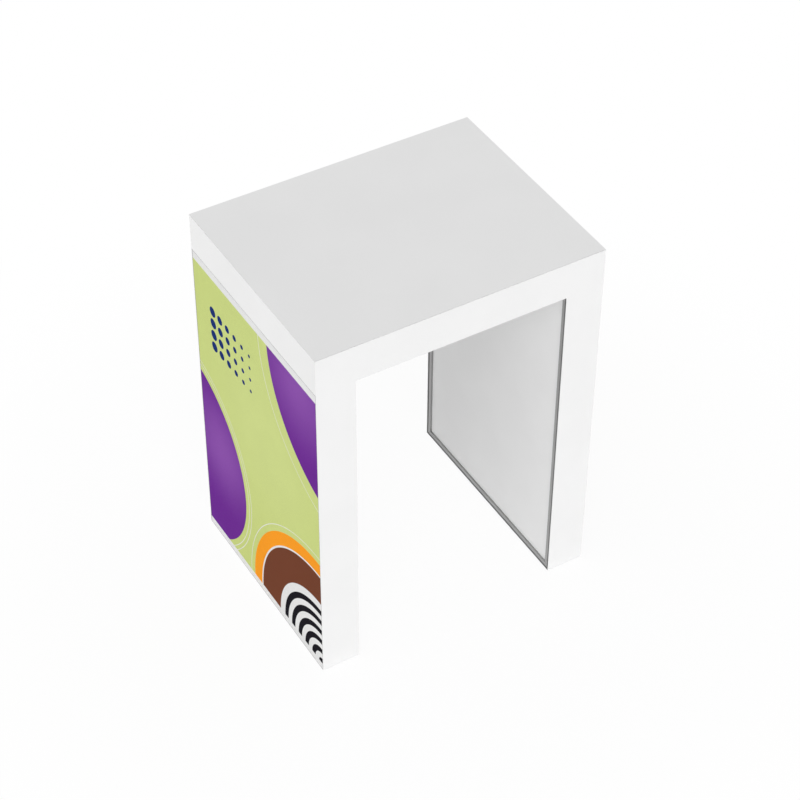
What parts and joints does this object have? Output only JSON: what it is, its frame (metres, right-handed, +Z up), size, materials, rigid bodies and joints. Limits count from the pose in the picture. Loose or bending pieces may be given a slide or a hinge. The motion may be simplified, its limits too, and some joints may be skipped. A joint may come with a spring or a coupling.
{
  "type": "exhibition counter",
  "caption": "White portal-shaped exhibition counter: a boxed worktop on two aluminium frame legs with stretched print fabric outside, liner panels inside and levelling feet.",
  "frame": {"origin": "on the floor, under the middle of the counter", "axes": "+Z up; +X to the right of a person facing the front; the front faces -Y"},
  "size_m": [0.75, 0.59, 1],
  "materials": {
    "white_laminate": "smooth white laminate on board, satin",
    "core_board": "bare particle board",
    "white_sheet": "white powder coat, satin",
    "anodised_aluminium": "natural anodised extrusion, fine draw lines",
    "zinc_plated_steel": "bright zinc plate",
    "white_liner": "white foamed sheet, satin",
    "printed_fabric": "dye-sublimated polyester, matt",
    "clear_silicone": "translucent strip",
    "black_plastic": "moulded, matt"
  },
  "bodies": {
    "counter": {"worktop": "white_laminate", "underside_board": "white_laminate", "left_end_board": "white_laminate", "right_end_board": "white_laminate", "front_rail": "core_board", "rear_rail": "core_board", "rib_1": "core_board", "rib_2": "core_board", "front_fascia": "white_sheet", "rear_fascia": "white_sheet", "left_leg_front_upright": "anodised_aluminium", "left_leg_rear_upright": "anodised_aluminium", "left_leg_top_rail": "anodised_aluminium", "left_leg_bottom_rail": "anodised_aluminium", "left_leg_front_bottom_bracket": "zinc_plated_steel", "left_leg_rear_bottom_bracket": "zinc_plated_steel", "left_leg_rear_top_bracket": "zinc_plated_steel", "left_leg_front_top_bracket": "zinc_plated_steel", "left_leg_liner_panel": "white_liner", "left_leg_graphic": "printed_fabric", "left_leg_graphic_edging": "clear_silicone", "left_leg_front_clamp_plate": "zinc_plated_steel", "left_leg_front_thumbscrew": "zinc_plated_steel", "left_leg_front_insert": "zinc_plated_steel", "left_leg_front_foot_plate": "zinc_plated_steel", "left_leg_rear_clamp_plate": "zinc_plated_steel", "left_leg_rear_thumbscrew": "zinc_plated_steel", "left_leg_rear_insert": "zinc_plated_steel", "left_leg_rear_foot_plate": "zinc_plated_steel", "right_leg_front_upright": "anodised_aluminium", "right_leg_rear_upright": "anodised_aluminium", "right_leg_top_rail": "anodised_aluminium", "right_leg_bottom_rail": "anodised_aluminium", "right_leg_front_bottom_bracket": "zinc_plated_steel", "right_leg_rear_bottom_bracket": "zinc_plated_steel", "right_leg_rear_top_bracket": "zinc_plated_steel", "right_leg_front_top_bracket": "zinc_plated_steel", "right_leg_liner_panel": "white_liner", "right_leg_graphic": "printed_fabric", "right_leg_graphic_edging": "clear_silicone", "right_leg_front_clamp_plate": "zinc_plated_steel", "right_leg_front_thumbscrew": "zinc_plated_steel", "right_leg_front_insert": "zinc_plated_steel", "right_leg_front_foot_plate": "zinc_plated_steel", "right_leg_rear_clamp_plate": "zinc_plated_steel", "right_leg_rear_thumbscrew": "zinc_plated_steel", "right_leg_rear_insert": "zinc_plated_steel", "right_leg_rear_foot_plate": "zinc_plated_steel"},
    "left_front_foot": {"left_leg_front_foot_pad": "black_plastic", "left_leg_front_foot_stud": "zinc_plated_steel"},
    "left_rear_foot": {"left_leg_rear_foot_pad": "black_plastic", "left_leg_rear_foot_stud": "zinc_plated_steel"},
    "right_front_foot": {"right_leg_front_foot_pad": "black_plastic", "right_leg_front_foot_stud": "zinc_plated_steel"},
    "right_rear_foot": {"right_leg_rear_foot_pad": "black_plastic", "right_leg_rear_foot_stud": "zinc_plated_steel"}
  },
  "joints": [
    {"name": "left_front_foot_travel", "type": "slide", "parent": "counter", "child": "left_front_foot", "axis": [0, 0, -1], "range_m": [0, 0.015]},
    {"name": "left_rear_foot_travel", "type": "slide", "parent": "counter", "child": "left_rear_foot", "axis": [0, 0, -1], "range_m": [0, 0.015]},
    {"name": "right_front_foot_travel", "type": "slide", "parent": "counter", "child": "right_front_foot", "axis": [0, 0, -1], "range_m": [0, 0.015]},
    {"name": "right_rear_foot_travel", "type": "slide", "parent": "counter", "child": "right_rear_foot", "axis": [0, 0, -1], "range_m": [0, 0.015]}
  ]
}
